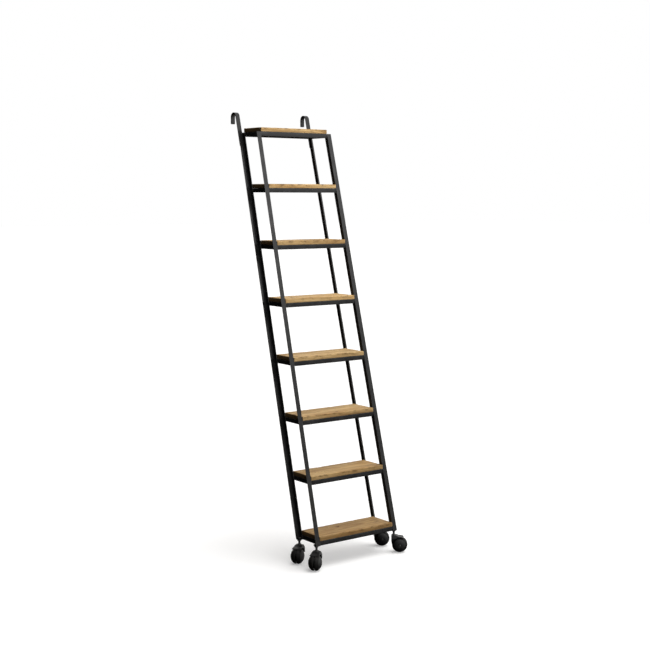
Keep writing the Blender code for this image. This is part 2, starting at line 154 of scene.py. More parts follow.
class Nodes:
    """Short ways to add and link shader nodes in one material."""

    def __init__(self, name):
        self.material = bpy.data.materials.new(name)
        self.material.use_nodes = True
        self.tree = self.material.node_tree
        self.shader = self.tree.nodes["Principled BSDF"]

    def put(self, socket, value):
        """Links a socket, or sets it to a number or a colour."""
        if isinstance(value, bpy.types.NodeSocket):
            self.tree.links.new(value, socket)
        elif value is not None:
            socket.default_value = value

    def math(self, operation, *values):
        node = self.tree.nodes.new("ShaderNodeMath")
        node.operation = operation
        for socket, value in zip(node.inputs, values):
            self.put(socket, value)
        return node.outputs[0]

    def vector(self, operation, *values):
        node = self.tree.nodes.new("ShaderNodeVectorMath")
        node.operation = operation
        for socket, value in zip(node.inputs, values):
            self.put(socket, value)
        return node.outputs["Value" if operation in ("LENGTH", "DOT_PRODUCT") else "Vector"]

    def scaled(self, vector, scale):
        return self.vector("MULTIPLY", vector, scale)

    def axes(self, vector):
        node = self.tree.nodes.new("ShaderNodeSeparateXYZ")
        self.put(node.inputs[0], vector)
        return node.outputs

    def joined(self, x, y, z):
        node = self.tree.nodes.new("ShaderNodeCombineXYZ")
        for socket, value in zip(node.inputs, (x, y, z)):
            self.put(socket, value)
        return node.outputs[0]

    def noise(self, vector, scale, detail=3.0, roughness=0.55, distortion=0.0):
        node = self.tree.nodes.new("ShaderNodeTexNoise")
        self.put(node.inputs["Vector"], vector)
        node.inputs["Scale"].default_value = scale
        node.inputs["Detail"].default_value = detail
        node.inputs["Roughness"].default_value = roughness
        node.inputs["Distortion"].default_value = distortion
        return node.outputs[0]

    def grained(self, vector, along, across, detail, roughness=0.55, distortion=0.0):
        """Noise drawn out along X, as wood grain is."""
        stretched = self.scaled(vector, (along, across, across))
        return self.noise(stretched, 1.0, detail, roughness, distortion)

    def ramp(self, value, low, high, to_low=0.0, to_high=1.0):
        """A smooth step of value, from to_low at low to to_high at high."""
        node = self.tree.nodes.new("ShaderNodeMapRange")
        node.interpolation_type = "SMOOTHSTEP"
        for name, number in zip(("From Min", "From Max", "To Min", "To Max"), (low, high, to_low, to_high)):
            self.put(node.inputs[name], number)
        self.put(node.inputs["Value"], value)
        return node.outputs[0]

    def mix(self, factor, first, second):
        """A mix of two colours, each a socket or an (r, g, b)."""
        node = self.tree.nodes.new("ShaderNodeMix")
        node.data_type = "RGBA"
        self.put(node.inputs[0], factor)
        for socket, value in ((node.inputs[6], first), (node.inputs[7], second)):
            self.put(socket, (*value, 1.0) if isinstance(value, tuple) else value)
        return node.outputs[2]

    def attribute(self, name, output="Fac"):
        node = self.tree.nodes.new("ShaderNodeAttribute")
        node.attribute_name = name
        return node.outputs[output]

    def place(self):
        """Coordinates fixed to the piece, shifted by a random amount for each object."""
        where = self.tree.nodes.new("ShaderNodeTexCoord").outputs["Object"]
        chance = self.tree.nodes.new("ShaderNodeObjectInfo").outputs["Random"]
        shift = self.joined(self.math("MULTIPLY", chance, 3.7), self.math("MULTIPLY", chance, 9.1), chance)
        return self.vector("ADD", where, shift)

    def bump(self, height, strength, distance):
        node = self.tree.nodes.new("ShaderNodeBump")
        node.inputs["Strength"].default_value = strength
        node.inputs["Distance"].default_value = distance
        self.put(node.inputs["Height"], height)
        self.put(self.shader.inputs["Normal"], node.outputs[0])

    def surface(self, color=None, roughness=None, metallic=None, specular=None):
        self.put(self.shader.inputs["Base Color"], color)
        self.put(self.shader.inputs["Roughness"], roughness)
        self.put(self.shader.inputs["Metallic"], metallic)
        self.put(self.shader.inputs["Specular IOR Level"], specular)
        return self.material


def blackened_steel(name, dark, light, worn):
    """Hot-rolled steel under thin black lacquer: cloudy scale, fine drawn lines, rubbed edges."""
    n = Nodes(name)
    where = n.place()
    clouds = n.noise(where, 16.0, 6.0, 0.68, 0.4)
    grain = n.noise(where, 160.0, 3.0, 0.6)
    lines = n.noise(n.scaled(where, (500.0, 500.0, 14.0)), 1.0, 2.0)
    scale = n.ramp(clouds, 0.38, 0.66)
    color = n.mix(scale, dark, light)
    color = n.mix(n.ramp(grain, 0.58, 0.75, 0.0, 0.35), color, (0.075, 0.066, 0.058))
    rubbed = n.math("MULTIPLY", n.attribute("wear"), n.ramp(n.noise(where, 45.0, 4.0, 0.7), 0.34, 0.56))
    color = n.mix(rubbed, color, worn)
    roughness = n.math("ADD", n.ramp(clouds, 0.3, 0.7, 0.40, 0.62), n.math("MULTIPLY", lines, 0.08))
    roughness = n.math("SUBTRACT", roughness, n.math("MULTIPLY", rubbed, 0.12))
    height = n.math("ADD", n.math("MULTIPLY", grain, 0.6), n.math("MULTIPLY", lines, 0.4))
    n.bump(height, 0.35, 0.0004)
    return n.surface(color, roughness, 0.0, 0.26)


def powder_coat():
    """Black powder coat on castings: orange peel, a slightly cloudy tone, a few rubbed spots."""
    n = Nodes("hood_powder_coat")
    where = n.place()
    peel = n.noise(where, 900.0, 2.0, 0.5)
    clouds = n.noise(where, 60.0, 4.0, 0.6)
    color = n.mix(n.ramp(clouds, 0.4, 0.7), (0.008, 0.008, 0.0085), (0.016, 0.016, 0.017))
    scuffs = n.ramp(n.noise(n.scaled(where, (3.0, 3.0, 0.6)), 130.0, 5.0, 0.7), 0.66, 0.74)
    color = n.mix(n.math("MULTIPLY", scuffs, 0.5), color, (0.07, 0.07, 0.072))
    roughness = n.ramp(clouds, 0.3, 0.75, 0.38, 0.54)
    n.bump(peel, 0.25, 0.0003)
    return n.surface(color, roughness, 0.0, 0.28)


def dark_zinc():
    """Blackened zinc of bolts and nuts: metal that shows through in turned lines."""
    n = Nodes("dark_zinc")
    where = n.place()
    clouds = n.noise(where, 210.0, 4.0, 0.6)
    rings = n.noise(n.scaled(where, (60.0, 60.0, 2500.0)), 1.0, 2.0)
    color = n.mix(n.ramp(clouds, 0.35, 0.7), (0.07, 0.07, 0.074), (0.17, 0.165, 0.16))
    roughness = n.math("ADD", n.ramp(clouds, 0.3, 0.7, 0.30, 0.48), n.math("MULTIPLY", rings, 0.1))
    n.bump(rings, 0.3, 0.0002)
    return n.surface(color, roughness, 0.85, 0.5)


def hub_plastic():
    """Dark grey moulded plastic with a fine spark-eroded texture and pale dust."""
    n = Nodes("hub_plastic")
    where = n.place()
    texture = n.noise(where, 1400.0, 2.0, 0.6)
    clouds = n.noise(where, 70.0, 4.0, 0.65)
    color = n.mix(n.ramp(clouds, 0.35, 0.72), (0.018, 0.0185, 0.0195), (0.034, 0.034, 0.034))
    roughness = n.ramp(clouds, 0.3, 0.7, 0.46, 0.62)
    n.bump(texture, 0.3, 0.0002)
    return n.surface(color, roughness, 0.0, 0.3)


def tyre_rubber():
    """Matt black rubber, with grey scuffs on the tread."""
    n = Nodes("tyre_rubber")
    where = n.place()
    x, y, _ = n.axes(n.tree.nodes.new("ShaderNodeTexCoord").outputs["Object"])
    reach = n.math("SQRT", n.math("ADD", n.math("MULTIPLY", x, x), n.math("MULTIPLY", y, y)))
    tread = n.ramp(reach, WHEEL_RADIUS - 0.0035, WHEEL_RADIUS - 0.0005)
    scuffs = n.ramp(n.noise(n.scaled(where, (1.0, 1.0, 2.5)), 240.0, 5.0, 0.7), 0.45, 0.72)
    dust = n.math("MULTIPLY", n.math("MULTIPLY", tread, scuffs), 0.7)
    color = n.mix(n.noise(where, 90.0, 3.0), (0.006, 0.006, 0.006), (0.011, 0.011, 0.0105))
    color = n.mix(dust, color, (0.042, 0.040, 0.037))
    roughness = n.ramp(scuffs, 0.0, 1.0, 0.62, 0.82)
    n.bump(n.noise(where, 1100.0, 3.0, 0.6), 0.35, 0.0003)
    return n.surface(color, roughness, 0.0, 0.22)


def knot_fields(n, where):
    """Distance from a board's knot, and how strongly the knot bends the grain there."""
    offset = n.vector("SUBTRACT", where, n.attribute("knot", "Vector"))
    x, y, z = n.axes(offset)
    lean = n.math("ADD", y, n.math("MULTIPLY", z, 0.35))
    short = n.math("MULTIPLY", x, 0.72)
    near = n.math("SQRT", n.math("ADD", n.math("MULTIPLY", short, short), n.math("MULTIPLY", lean, lean)))
    near = n.math("ADD", near, n.ramp(n.noise(where, 110.0, 2.0), 0.25, 0.75, -0.0019, 0.0019))
    stretched = n.vector("LENGTH", n.joined(n.math("MULTIPLY", x, 0.42), lean, 0.0))
    return near, n.ramp(stretched, 0.034, 0.002)


def growth_rings(n, where, drift, bend):
    """How far a point is into the dark late wood of its year, from 0 to 1."""
    _, y, z = n.axes(where)
    reach = n.vector("LENGTH", n.joined(0.0, y, z))
    ripple = n.grained(where, 9.0, 60.0, 2.0)
    for shift, amount in ((drift, 0.034), (ripple, 0.0016), (bend, 0.020)):
        reach = n.math("ADD", reach, n.math("MULTIPLY", shift, amount))
    year = n.math("FRACT", n.math("DIVIDE", reach, RING_WIDTH))
    return n.math("MULTIPLY", n.ramp(year, 0.25, 0.90), n.ramp(year, 0.90, 1.0, 1.0, 0.0))


def weathered(n, color, where, tone):
    """The wood's warm patches, dark blotches, fine checks, and the dirt on its rough edges."""
    warm = n.mix(tone, (0.34, 0.18, 0.055), (0.62, 0.350, 0.115))
    dark = n.mix(tone, (0.085, 0.043, 0.017), (0.15, 0.078, 0.030))
    warmth = n.grained(where, 3.0, 11.0, 2.0)
    blotches = n.grained(where, 6.0, 22.0, 4.0, 0.65, 0.8)
    checks = n.grained(where, 4.0, 130.0, 3.0, 0.6, 0.3)
    chips = n.grained(where, 26.0, 60.0, 4.0, 0.7)
    color = n.mix(n.ramp(warmth, 0.46, 0.66, 0.0, 0.45), color, warm)
    color = n.mix(n.ramp(blotches, 0.55, 0.70, 0.0, 0.55), color, dark)
    color = n.mix(n.ramp(checks, 0.60, 0.70, 0.0, 0.75), color, dark)
    rough_edge = n.math("MULTIPLY", n.attribute("edge"), n.ramp(chips, 0.47, 0.66))
    return n.mix(n.math("MULTIPLY", rough_edge, 0.8), color, dark)


def with_knot(n, color, knot):
    """The colour with the board's knot: a dark heart with its own close rings."""
    rings = n.math("FRACT", n.math("DIVIDE", knot, KNOT_RING_WIDTH))
    heart = n.mix(n.ramp(rings, 0.2, 1.0), (0.17, 0.082, 0.035), (0.085, 0.040, 0.018))
    past_rim = n.math("SUBTRACT", knot, n.attribute("knot_size"))
    return n.mix(n.ramp(past_rim, 0.0022, -0.0006), color, heart)


def oiled_wood():
    """Plain-sawn softwood under oil. It is cut from a log: rings round a pith that runs along X."""
    n = Nodes("oiled_wood")
    where = n.attribute("grain", "Vector")
    tone = n.attribute("tone")
    knot, bend = knot_fields(n, where)
    late = growth_rings(n, where, n.grained(where, 2.2, 9.0, 3.0, 0.5), bend)
    fibres = n.grained(where, 16.0, 520.0, 3.0, 0.65)
    streaks = n.grained(where, 3.0, 42.0, 4.0, 0.6)
    pores = n.ramp(n.grained(where, 45.0, 1500.0, 2.0), 0.66, 0.78)
    early_color = n.mix(tone, (0.44, 0.285, 0.118), (0.80, 0.570, 0.275))
    late_color = n.mix(tone, (0.24, 0.125, 0.042), (0.44, 0.255, 0.090))
    color = n.mix(n.math("MULTIPLY", late, 0.66), early_color, late_color)
    color = n.mix(n.ramp(streaks, 0.38, 0.68, 0.0, 0.78), color, late_color)
    color = weathered(n, color, where, tone)
    color = n.mix(n.ramp(fibres, 0.35, 0.75, 0.0, 0.22), color, (0.20, 0.115, 0.055))
    color = n.mix(n.math("MULTIPLY", pores, 0.35), color, (0.13, 0.075, 0.038))
    color = with_knot(n, color, knot)
    # Board end faces darker: end grain takes up more oil, plus painted shade on the ends.
    ends = n.ramp(n.math("ABSOLUTE", n.attribute("end_grain_and_shade")), 0.5, 0.95, 0.0, 0.75)
    color = n.mix(ends, color, (0.10, 0.058, 0.026))
    roughness = n.math("ADD", n.ramp(fibres, 0.3, 0.7, 0.60, 0.76), n.math("MULTIPLY", late, -0.05))
    height = n.math("ADD", n.math("MULTIPLY", late, 0.5), n.math("MULTIPLY", fibres, 0.5))
    height = n.math("SUBTRACT", height, n.math("MULTIPLY", pores, 0.5))
    n.bump(height, 0.30, 0.0005)
    return n.surface(color, roughness, 0.0, 0.12)


def floor_paint():
    """A plain pale floor that glows a little, so that it stays as white as the background."""
    n = Nodes("pale_floor")
    n.shader.inputs["Emission Color"].default_value = (1.0, 1.0, 1.0, 1.0)
    n.shader.inputs["Emission Strength"].default_value = 0.30
    clouds = n.noise(n.tree.nodes.new("ShaderNodeTexCoord").outputs["Object"], 0.7, 3.0)
    return n.surface(n.mix(clouds, (0.78, 0.78, 0.785), (0.80, 0.80, 0.80)), 0.7, 0.0, 0.0)


STEEL_LOOK = blackened_steel(
    "blackened_steel", (0.0060, 0.0060, 0.0065), (0.026, 0.026, 0.027), (0.22, 0.212, 0.205)
)
WELD_LOOK = blackened_steel(
    "weld_steel", (0.014, 0.013, 0.013), (0.032, 0.030, 0.029), (0.14, 0.135, 0.13)
)
WOOD_LOOK = oiled_wood()
HOOD_LOOK = powder_coat()
BOLT_LOOK = dark_zinc()
HUB_LOOK = hub_plastic()
TYRE_LOOK = tyre_rubber()


# ---------------------------------------------------------------- geometry helpers


def rounded_outline(corners, steps=5):
    """A closed outline from corners (x, y, radius), counter-clockwise, with a wear value per point.

    Wear is 1 at the middle of a rounded outer edge, and 0 on flats and in hollows.
    """
    points, wear = [], []
    count = len(corners)
    for i, (x, y, radius) in enumerate(corners):
        here = Vector((x, y))
        back = (Vector(corners[i - 1][:2]) - here).normalized()
        ahead = (Vector(corners[(i + 1) % count][:2]) - here).normalized()
        outer = back.x * ahead.y - back.y * ahead.x < 0
        half = back.angle(ahead) / 2
        centre = here + (back + ahead).normalized() * (radius / sin(half))
        first = here + back * (radius / tan(half)) - centre
        last = here + ahead * (radius / tan(half)) - centre
        start = atan2(first.y, first.x)
        sweep = (atan2(last.y, last.x) - start + pi) % (2 * pi) - pi
        for k in range(steps + 1):
            angle = start + sweep * k / steps
            points.append(centre + radius * Vector((cos(angle), sin(angle))))
            wear.append(sin(pi * k / steps) if outer else 0.0)
    return points, wear


def loft(loops, wear=None, closed=False):
    """A mesh whose skin joins equal loops of points, with end caps unless it is closed."""
    bm = bmesh.new()
    rings = [[bm.verts.new(p) for p in loop] for loop in loops]
    pairs = list(zip(rings, rings[1:]))
    if closed:
        pairs.append((rings[-1], rings[0]))
    for low, high in pairs:
        for i in range(len(low)):
            j = (i + 1) % len(low)
            bm.faces.new((low[i], low[j], high[j], high[i]))
    if not closed:
        bm.faces.new(reversed(rings[0]))
        bm.faces.new(rings[-1])
    bmesh.ops.recalc_face_normals(bm, faces=bm.faces)
    mesh = mesh_from(bm)
    if wear:
        attribute = mesh.attributes.new("wear", "FLOAT", "POINT")
        attribute.data.foreach_set("value", wear * len(loops))
    return mesh


def turned(profile, segments=64):
    """A body turned about Z. The profile is (radius, z), and may start and end on the axis."""
    bm = bmesh.new()
    angles = [2 * pi * k / segments for k in range(segments)]
    rings = []
    for radius, z in profile:
        if radius < 1e-9:
            rings.append([bm.verts.new((0.0, 0.0, z))])
        else:
            rings.append([bm.verts.new((radius * cos(a), radius * sin(a), z)) for a in angles])
    pairs = list(zip(rings, rings[1:]))
    if len(rings[0]) > 1:
        pairs.append((rings[-1], rings[0]))
    for first, second in pairs:
        for k in range(segments):
            n = (k + 1) % segments
            corners = [first[k % len(first)], first[n % len(first)]]
            corners += [second[n % len(second)], second[k % len(second)]]
            unique = list(dict.fromkeys(corners))
            if len(unique) > 2:
                bm.faces.new(unique)
    bmesh.ops.recalc_face_normals(bm, faces=bm.faces)
    return mesh_from(bm)


def mesh_from(bm):
    """The bmesh as a mesh; the bmesh is freed."""
    mesh = bpy.data.meshes.new("mesh")
    bm.to_mesh(mesh)
    bm.free()
    return mesh


def softened(points, radius, steps=3, closed=True):
    """A (radius, z) profile with each corner cut by a small round of at most this radius."""
    made = []
    count = len(points)
    for i in range(count):
        here = Vector(points[i])
        if not closed and i in (0, count - 1):
            made.append(tuple(here))
            continue
        back = Vector(points[i - 1]) - here
        ahead = Vector(points[(i + 1) % count]) - here
        reach = min(radius, back.length * 0.45, ahead.length * 0.45)
        first = here + back.normalized() * reach
        last = here + ahead.normalized() * reach
        for k in range(steps + 1):
            t = k / steps
            made.append(tuple(first.lerp(here, t).lerp(here.lerp(last, t), t)))
    return made


def hexagonal_nut(flats, hole_radius, low, high):
    """A nut about Z, its outer edges chamfered as a turned cone cuts them."""
    corner = flats / 2 / cos(pi / 6)
    segments = 72
    angles = [2 * pi * k / segments for k in range(segments)]
    fall = 0.55

    def ring(limit, z):
        reaches = [min(flats / 2 / cos((a + pi / 6) % (pi / 3) - pi / 6), limit) for a in angles]
        return [Vector((r * cos(a), r * sin(a), z)) for r, a in zip(reaches, angles)]

    def side(edge, away):
        """The loop where the cone meets the flats: lower at the corners than at the flats' middles."""
        loop = ring(corner, edge)
        for p in loop:
            p.z = edge + away * (p.xy.length - flats / 2) * fall
        return loop

    def circle(radius, z):
        return [Vector((radius * cos(a), radius * sin(a), z)) for a in angles]

    face = flats / 2 - 0.0002
    loops = [circle(hole_radius, low + 0.0006), circle(hole_radius + 0.0006, low), circle(face, low)]
    loops += [side(low + 0.0003, 1), side(high - 0.0003, -1)]
    loops += [circle(face, high), circle(hole_radius + 0.0006, high), circle(hole_radius, high - 0.0006)]
    return loft(loops, closed=True)


def bar_along(path, across, thickness, width_of):
    """A flat bar swept along a path in the YZ plane. width_of(k) is its half width at point k."""
    loops = []
    wear = None
    for k, point in enumerate(path):
        ahead = path[min(k + 1, len(path) - 1)] - path[max(k - 1, 0)]
        normal = Vector((0.0, -ahead.z, ahead.y)).normalized()
        half = width_of(k)
        corners = [(-half, 0.0), (half, 0.0), (half, thickness), (-half, thickness)]
        outline, wear = rounded_outline([(*c, HOOK_EDGE_RADIUS) for c in corners], steps=3)
        loops.append([point + Vector((across + p.x, 0.0, 0.0)) + normal * p.y for p in outline])
    return loft(loops, wear)


def weld_bead(start, end, radius, seed):
    """A bead with the ripples of a hand-made weld, between two points."""
    along = end - start
    side = along.orthogonal().normalized()
    other = along.normalized().cross(side)
    count = max(8, int(along.length / WELD_STEP))
    loops = []
    for k in range(count + 1):
        t = k / count
        swell = 0.86 + 0.14 * abs(sin(t * along.length / WELD_RIPPLE * pi))
        swell *= 0.92 + 0.16 * noise.noise(Vector((t * 9.0, seed * 3.1, 0.0)))
        reach = radius * swell * sqrt(max(0.0, 1.0 - abs(2 * t - 1) ** 6)) + radius * 0.12
        centre = start + along * t
        angles = [2 * pi * i / 10 for i in range(10)]
        loops.append([centre + reach * (cos(a) * side + sin(a) * other) for a in angles])
    return loft(loops)


def joined_meshes(meshes):
    """One mesh that holds them all."""
    bm = bmesh.new()
    for mesh in meshes:
        bm.from_mesh(mesh)
        bpy.data.meshes.remove(mesh)
    return mesh_from(bm)


def moved(mesh, matrix):
    """A moved copy of a mesh."""
    copy = mesh.copy()
    copy.transform(matrix)
    return copy


def box_mesh(low, high):
    """A box between two corners."""
    bm = bmesh.new()
    bmesh.ops.create_cube(bm, size=1.0)
    low, high = Vector(low), Vector(high)
    bmesh.ops.scale(bm, vec=high - low, verts=bm.verts)
    bmesh.ops.translate(bm, vec=(low + high) / 2, verts=bm.verts)
    return mesh_from(bm)


def prism(outline, low, high, place):
    """A prism of a flat outline between low and high; place(u, v, w) gives each 3-D point."""
    return loft([[place(p[0], p[1], w) for p in outline] for w in (low, high)])


def combined(base, *operations, bevel=0.0):
    """A mesh after Boolean operations, each (kind, mesh), with its sharp edges then rounded."""
    scene = bpy.context.scene.collection
    body = bpy.data.objects.new("combined", base)
    scene.objects.link(body)
    helpers = []
    for kind, mesh in operations:
        helper = bpy.data.objects.new("helper", mesh)
        scene.objects.link(helper)
        helpers.append(helper)
        modifier = body.modifiers.new(kind, "BOOLEAN")
        modifier.operation = kind
        modifier.solver = "EXACT"
        modifier.object = helper
    if bevel:
        modifier = body.modifiers.new("edges", "BEVEL")
        modifier.width = bevel
        modifier.segments = 2
        modifier.limit_method = "ANGLE"
        modifier.angle_limit = radians(38)
        modifier.use_clamp_overlap = True
    graph = bpy.context.evaluated_depsgraph_get()
    made = bpy.data.meshes.new_from_object(body.evaluated_get(graph))
    for helper in [body, *helpers]:
        mesh = helper.data
        bpy.data.objects.remove(helper)
        bpy.data.meshes.remove(mesh)
    return made


def add_piece(name, mesh, material, body, slot, replaces=(), matrix=None, sharp=32.0):
    """A visible piece that rides on a body and takes the given material. The slot is not used."""
    if mesh.users == 0:
        mesh.name = name
        mesh.shade_smooth()
        mesh.set_sharp_from_angle(angle=radians(sharp))
        mesh.materials.clear()
        mesh.materials.append(material)
    piece = bpy.data.objects.new(name, mesh)
    bpy.context.scene.collection.objects.link(piece)
    if matrix is not None:
        piece.matrix_world = matrix
    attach(piece, body)
    if replaces:
        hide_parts(*replaces)
    return piece


# ---------------------------------------------------------------- stringers and hooks


def add_stringer(side, row):
    """One leaning angle iron, its corner outwards."""
    outward = SIDES[side]
    inward = ROWS[row]
    section, wear = rounded_outline(
        [
            (0.0, 0.0, 0.0007),
            (FLANGE, 0.0, 0.0007),
            (FLANGE, STEEL, 0.0015),
            (STEEL, STEEL, 0.0030),
            (STEEL, FLANGE, 0.0015),
            (0.0, FLANGE, 0.0007),
        ]
    )

    def level_loop(z):
        loop = []
        for p in section:
            x = outward * (half_width(z) + p.x)
            loop.append(Vector((x, plane_y(row, z) + inward * p.y / cos(LEAN), z)))
        return loop

    count = 12
    heights = [FOOT + (TOP - FOOT) * k / count for k in range(count + 1)]
    name = f"stringer_{side}_{row}"
    mesh = loft([level_loop(z) for z in heights], wear)
    add_piece(f"angle_iron_{side}_{row}", mesh, STEEL_LOOK, ROOT, "blackened_steel", [name])


def hook_path(side):
    """The middle line of the hook's outer face, as points in the YZ plane, foot first."""
    low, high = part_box(f"rail_hook_{side}")
    outer = HOOK_INNER_RADIUS + HOOK_STEEL
    rail = Vector((0.0, high.y - outer, high.z - outer))
    foot = Vector((0.0, plane_y("rear", low.z) + GAP / cos(LEAN), low.z))
    start = pi - LEAN
    arc = []
    for k in range(33):
        angle = start - start * k / 32
        arc.append(rail + outer * Vector((0.0, cos(angle), sin(angle))))
    tip = Vector((0.0, high.y, rail.z - HOOK_DROP))
    shank = [foot.lerp(arc[0], t) for t in (0.0, 0.004, 0.010, 0.020, 0.035, 0.5)]
    leg = [arc[-1].lerp(tip, t) for t in (0.5, 0.86, 0.92, 0.965, 0.99, 1.0)]
    return shank + arc + leg


def add_hook(side):
    low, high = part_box(f"rail_hook_{side}")
    path = hook_path(side)
    half = (high.x - low.x) / 2
    ends = 6

    def half_width_at(k):
        """The bar's corners are rounded in plan at both ends."""
        point = path[k]
        end = path[0] if k < ends else path[-1]
        if ends <= k < len(path) - ends:
            return half
        away = min((point - end).length, HOOK_CORNER)
        return half - HOOK_CORNER + sqrt(HOOK_CORNER**2 - (HOOK_CORNER - away) ** 2)

    mesh = bar_along(path, (low.x + high.x) / 2, -HOOK_STEEL, half_width_at)
    add_piece(f"flat_hook_{side}", mesh, STEEL_LOOK, ROOT, "blackened_steel", [f"rail_hook_{side}"])
    add_hook_rivets(side, path, (low.x + high.x) / 2)


def add_hook_rivets(side, path, x):
    """Round rivet heads on the back of the lapped joint, and a weld along the hook's foot."""
    dome = [(0.0, 0.0026), (0.0018, 0.0025), (0.0034, 0.0020), (0.0046, 0.0011), (0.0052, 0.0), (0.0, 0.0)]
    head = turned(softened(dome, 0.0004, closed=False), 40)
    up = Vector((0.0, sin(LEAN), cos(LEAN)))
    back = Vector((0.0, cos(LEAN), -sin(LEAN)))
    turn = back.to_track_quat("Z", "Y").to_matrix().to_4x4()
    for number, along in enumerate(HOOK_RIVETS):
        at = path[0] + up * along + back * (HOOK_STEEL - 0.0001)
        place = Matrix.Translation(Vector((x, 0.0, 0.0)) + at) @ turn
        add_piece(f"hook_rivet_{side}_{number + 1}", head, BOLT_LOOK, ROOT, "bolt_steel", matrix=place)
    foot = path[0] + Vector((x, 0.0, 0.0))
    span = Vector((0.0088, 0.0, 0.0))
    bead = weld_bead(foot - span, foot + span, HOOK_WELD_RADIUS, 5 + SIDES[side])
    add_piece(f"hook_weld_{side}", bead, WELD_LOOK, ROOT, "blackened_steel", sharp=60.0)


# ---------------------------------------------------------------- treads


def add_tread_frame(number):
    """A frame of angle iron under a board, mitred at its corners."""
    low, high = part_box(f"tread_{number}_frame")
    height = high.z - low.z
    section, wear = rounded_outline(
        [
            (0.0, 0.0, 0.0006),
            (STEEL, 0.0, 0.0006),
            (STEEL, height - STEEL, 0.0026),
            (FRAME_FLANGE, height - STEEL, 0.0006),
            (FRAME_FLANGE, height, 0.0006),
            (0.0, height, 0.0007),
        ]
    )
    centre = (low + high) / 2
    half = (high - low) / 2
    loops = []
    for x_sign, y_sign in ((-1, -1), (1, -1), (1, 1), (-1, 1)):
        loop = []
        for p in section:
            x = centre.x + x_sign * (half.x - p.x)
            loop.append(Vector((x, centre.y + y_sign * (half.y - p.x), low.z + p.y)))
        loops.append(loop)
    mesh = loft(loops, wear, closed=True)
    node = f"tread_{number}_frame"
    add_piece(f"angle_frame_{number}", mesh, STEEL_LOOK, ROOT, "blackened_steel", [node])


def add_frame_screws(number, screw):
    """Pan-head screws up through the frame's flat flange into the board."""
    low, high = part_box(f"tread_{number}_frame")
    under = high.z - STEEL
    middle = STEEL + (FRAME_FLANGE - STEEL) * 0.55
    reach = (high.x - low.x) / 2
    places = []
    for share in (-0.78, 0.0, 0.78):
        for y in (low.y + middle, high.y - middle):
            places.append(Vector((share * reach, y, under)))
    for x in (low.x + middle, high.x - middle):
        places.append(Vector((x, (low.y + high.y) / 2, under)))
    rng = random.Random(number)
    copies = []
    for place in places:
        turn = Matrix.Rotation(rng.uniform(0, pi), 4, "Z")
        copies.append(moved(screw, Matrix.Translation(place) @ turn))
    add_piece(f"frame_screws_{number}", joined_meshes(copies), BOLT_LOOK, ROOT, "bolt_steel")


def pan_head_screw():
    """A screw head that hangs below z = 0, with a cross recess."""
    dome = [(0.0, -0.0024), (0.0020, -0.0023), (0.0034, -0.0017)]
    dome += [(0.0042, -0.0006), (0.0042, 0.0), (0.0, 0.0)]
    head = turned(softened(dome, 0.0004, closed=False), 36)
    arm = 0.0022
    blade = 0.00042
    cuts = [box_mesh((-arm, -blade, -0.004), (arm, blade, -0.0011))]
    cuts.append(box_mesh((-blade, -arm, -0.004), (blade, arm, -0.0011)))
    return combined(head, *[("DIFFERENCE", cut) for cut in cuts])


def add_frame_welds(number):
    """Beads that join a tread's frame to the side flanges of the four stringers."""
    low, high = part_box(f"tread_{number}_frame")
    beads = []
    for outward in SIDES.values():
        for row, inward in ROWS.items():
            ends = []
            for z in (low.z + 0.0035, high.z - 0.0030):
                y = plane_y(row, z) + inward * (FLANGE / cos(LEAN) + 0.0006)
                ends.append(Vector((outward * (half_width(z) + 0.0008), y, z)))
            beads.append(weld_bead(*ends, FRAME_WELD_RADIUS, number * 4 + len(beads)))
        z_low, z_high = low.z + 0.003, high.z - 0.003
        x = outward * (half_width(low.z) - 0.0010)
        corner = [Vector((x, high.y + 0.0004, z)) for z in (z_low, z_high)]
        beads.append(weld_bead(*corner, FRAME_WELD_RADIUS, number * 7 + len(beads)))
    mesh = joined_meshes(beads)
    add_piece(f"frame_welds_{number}", mesh, WELD_LOOK, ROOT, "blackened_steel", sharp=60.0)


# How light each board is, from the lowest tread up, between the wood's brown and its yellow.
BOARD_TONES = (0.17, 0.45, 0.74, 0.75, 0.92, 0.55, 0.80, 0.72)


def board_mesh(low, high, rng):
    """A board with eased and chipped edges.

    Returns its mesh, its centre, and for each point 1 beside a top edge and 0 elsewhere.
    """
    size = high - low
    bm = bmesh.new()
    bmesh.ops.create_cube(bm, size=1.0)
    bmesh.ops.scale(bm, vec=size, verts=bm.verts)
    long_edges = [e for e in bm.edges if abs((e.verts[0].co - e.verts[1].co).x) > size.x / 2]
    bmesh.ops.subdivide_edges(bm, edges=long_edges, cuts=60)
    deep = [e for e in bm.edges if abs((e.verts[0].co - e.verts[1].co).y) > size.y / 2]
    bmesh.ops.subdivide_edges(bm, edges=deep, cuts=20, use_grid_fill=True)
    sharp = [e for e in bm.edges if e.calc_face_angle(0.0) > 1.0]
    bmesh.ops.bevel(
        bm, geom=sharp, offset=BOARD_EDGE_RADIUS, segments=4, profile=0.5, affect="EDGES", clamp_overlap=True
    )
    shift = Vector([rng.uniform(0, 50) for _ in range(3)])
    centre = (low + high) / 2
    inner = size / 2 - Vector(BOARD_EDGE_BAND)
    edge = []
    for v in bm.verts:
        near_edge = (abs(v.co.x) > inner.x) + (abs(v.co.y) > inner.y) + (abs(v.co.z) > inner.z)
        depth = EDGE_UNEVENNESS if near_edge >= 2 else FACE_UNEVENNESS
        edge.append(1.0 if near_edge >= 2 and v.co.z > 0 else 0.0)
        if v.co.z > -size.z / 2 + 0.001:
            wobble = noise.noise(v.co * 22.0 + shift) - 0.6
            chip = max(0.0, noise.noise(v.co * 75.0 + shift * 2) - 0.22) * edge[-1]
            v.co += v.normal * (depth * wobble - BOARD_CHIP * chip)
        v.co += centre
    return mesh_from(bm), centre, edge


